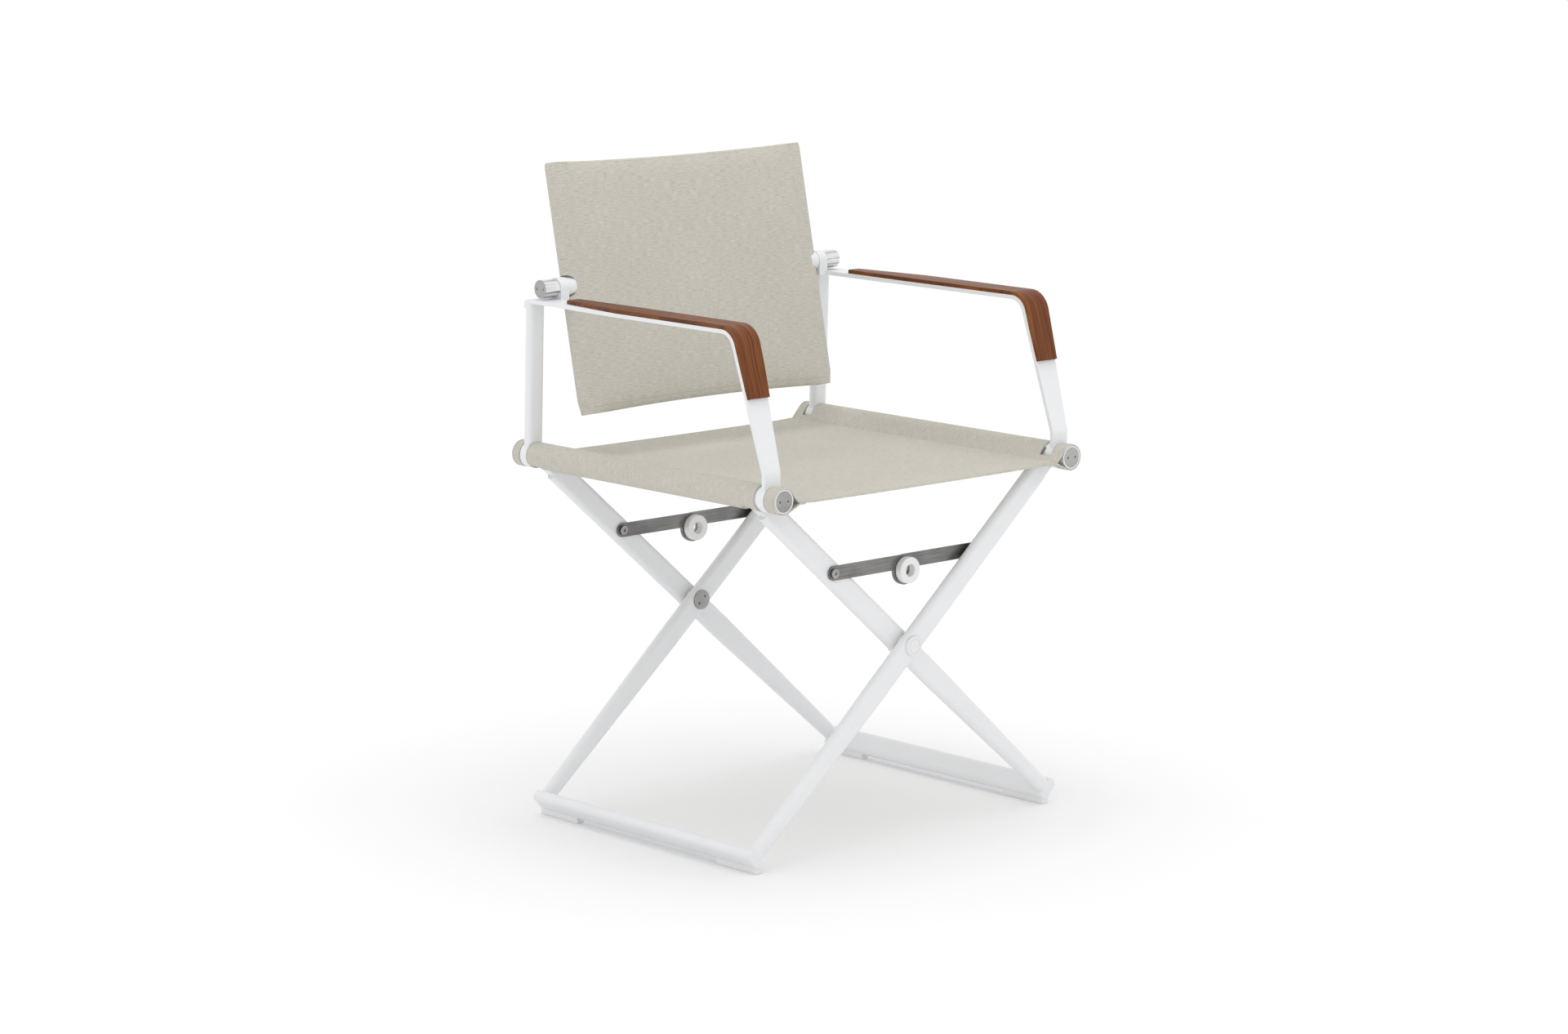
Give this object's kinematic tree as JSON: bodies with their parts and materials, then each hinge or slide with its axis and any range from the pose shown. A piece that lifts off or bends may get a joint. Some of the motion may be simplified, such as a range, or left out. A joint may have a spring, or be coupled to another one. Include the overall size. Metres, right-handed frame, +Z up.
{
  "type": "folding director chair",
  "caption": "Folding X-frame armchair with sling seat, tilting sling back, wooden armrests and locking stays.",
  "frame": {"origin": "on the floor under the middle of the chair", "axes": "+Z up, -Y the way the sitter faces, +X the sitter's left"},
  "size_m": [0.5578, 0.507, 0.8461],
  "materials": {
    "frame_white": "white powder coat on aluminium",
    "steel": "brushed stainless steel",
    "teak": "oiled reddish-brown hardwood",
    "sling_cloth": "woven beige-grey outdoor cloth",
    "white_plastic": "moulded white plastic"
  },
  "bodies": {
    "side_left": {"rail_left": "frame_white", "rail_axle_left": "steel", "rail_plugs_left": "steel", "rail_rings_left": "frame_white", "arm_strip_left": "frame_white", "rear_post_left": "frame_white", "armrest_left": "teak", "back_lug_left": "frame_white", "back_bolt_left": "steel", "seat_sleeve_left": "sling_cloth"},
    "side_right": {"rail_right": "frame_white", "rail_axle_right": "steel", "rail_plugs_right": "steel", "rail_rings_right": "frame_white", "arm_strip_right": "frame_white", "rear_post_right": "frame_white", "armrest_right": "teak", "back_lug_right": "frame_white", "back_bolt_right": "steel", "seat_sleeve_right": "sling_cloth"},
    "leg_frame_a": {"foot_bar_a": "frame_white", "foot_glides_a": "white_plastic", "front_leg_a": "frame_white", "rear_leg_a": "frame_white", "cross_pin_front": "steel", "cross_pin_rear": "steel", "cross_cap_front": "white_plastic", "cross_cap_rear": "white_plastic", "cross_washer_front": "white_plastic", "cross_washer_rear": "white_plastic", "stay_screws_a": "steel"},
    "leg_frame_b": {"foot_bar_b": "frame_white", "foot_glides_b": "white_plastic", "front_leg_b": "frame_white", "rear_leg_b": "frame_white", "stay_screws_b": "steel"},
    "stays_left": {"stay_left_front": "steel", "stay_left_rear": "steel", "stay_flange_front": "white_plastic", "stay_flange_rear": "white_plastic"},
    "stays_right": {"stay_right_front": "steel", "stay_right_rear": "steel", "stay_ring_front": "white_plastic", "stay_ring_rear": "white_plastic"},
    "seat_half_left": {"seat_panel_left": "sling_cloth"},
    "seat_half_right": {"seat_panel_right": "sling_cloth"},
    "back_side_left": {"back_bar_left": "steel", "back_collar_left": "frame_white", "back_pocket_left": "sling_cloth"},
    "back_side_right": {"back_bar_right": "steel", "back_collar_right": "frame_white", "back_pocket_right": "sling_cloth"},
    "back_half_left": {"back_panel_left": "sling_cloth"},
    "back_half_right": {"back_panel_right": "sling_cloth"}
  },
  "joints": [
    {"name": "leg_a_swing", "type": "hinge", "parent": "side_left", "child": "leg_frame_a", "pos_m": [0.2495, 0, 0.47], "axis": [0, -1, 0], "range_deg": [0, 38]},
    {"name": "fold", "type": "hinge", "parent": "leg_frame_a", "child": "leg_frame_b", "pos_m": [0, 0, 0.25182], "axis": [0, 1, 0], "range_deg": [0, 76]},
    {"name": "side_right_swing", "type": "hinge", "parent": "leg_frame_b", "child": "side_right", "pos_m": [-0.2495, 0, 0.47], "axis": [0, -1, 0], "range_deg": [0, 38]},
    {"name": "stay_left_swing", "type": "hinge", "parent": "leg_frame_a", "child": "stays_left", "pos_m": [0.122, 0, 0.35851], "axis": [0, 1, 0], "range_deg": [0, 118.4]},
    {"name": "stay_right_swing", "type": "hinge", "parent": "leg_frame_b", "child": "stays_right", "pos_m": [-0.122, 0, 0.35851], "axis": [0, -1, 0], "range_deg": [0, 118.4]},
    {"name": "seat_left_drop", "type": "hinge", "parent": "side_left", "child": "seat_half_left", "pos_m": [0.224, 0, 0.4649], "axis": [0, -1, 0], "range_deg": [0, 81.05], "deforming": ["seat_panel_left"]},
    {"name": "seat_right_drop", "type": "hinge", "parent": "side_right", "child": "seat_half_right", "pos_m": [-0.224, 0, 0.4649], "axis": [0, 1, 0], "range_deg": [0, 81.05], "deforming": ["seat_panel_right"]},
    {"name": "back_tilt", "type": "hinge", "parent": "side_left", "child": "back_side_left", "pos_m": [0.2184, 0.2054, 0.6876], "axis": [-1, 0, 0], "range_deg": [-15, 15]},
    {"name": "back_right_tilt", "type": "hinge", "parent": "side_right", "child": "back_side_right", "pos_m": [-0.2184, 0.2054, 0.6876], "axis": [-1, 0, 0], "range_deg": [-15, 15]},
    {"name": "back_left_fold", "type": "hinge", "parent": "back_side_left", "child": "back_half_left", "pos_m": [0.194, 0.19562, 0.68966], "axis": [0, -0.2062, -0.9785], "range_deg": [0, 88.36], "deforming": ["back_panel_left"]},
    {"name": "back_right_fold", "type": "hinge", "parent": "back_side_right", "child": "back_half_right", "pos_m": [-0.194, 0.19562, 0.68966], "axis": [0, 0.2062, 0.9785], "range_deg": [0, 88.36], "deforming": ["back_panel_right"]}
  ],
  "couplings": [
    {"joint": "leg_a_swing", "follows": "fold", "ratio": 0.5},
    {"joint": "side_right_swing", "follows": "fold", "ratio": 0.5},
    {"joint": "stay_left_swing", "follows": "fold", "ratio": 1.5579},
    {"joint": "stay_right_swing", "follows": "fold", "ratio": 1.5579},
    {"joint": "seat_left_drop", "follows": "fold", "ratio": 1.0665},
    {"joint": "seat_right_drop", "follows": "fold", "ratio": 1.0665},
    {"joint": "back_left_fold", "follows": "fold", "ratio": 1.1626},
    {"joint": "back_right_fold", "follows": "fold", "ratio": 1.1626},
    {"joint": "back_right_tilt", "follows": "back_tilt", "ratio": 1}
  ]
}
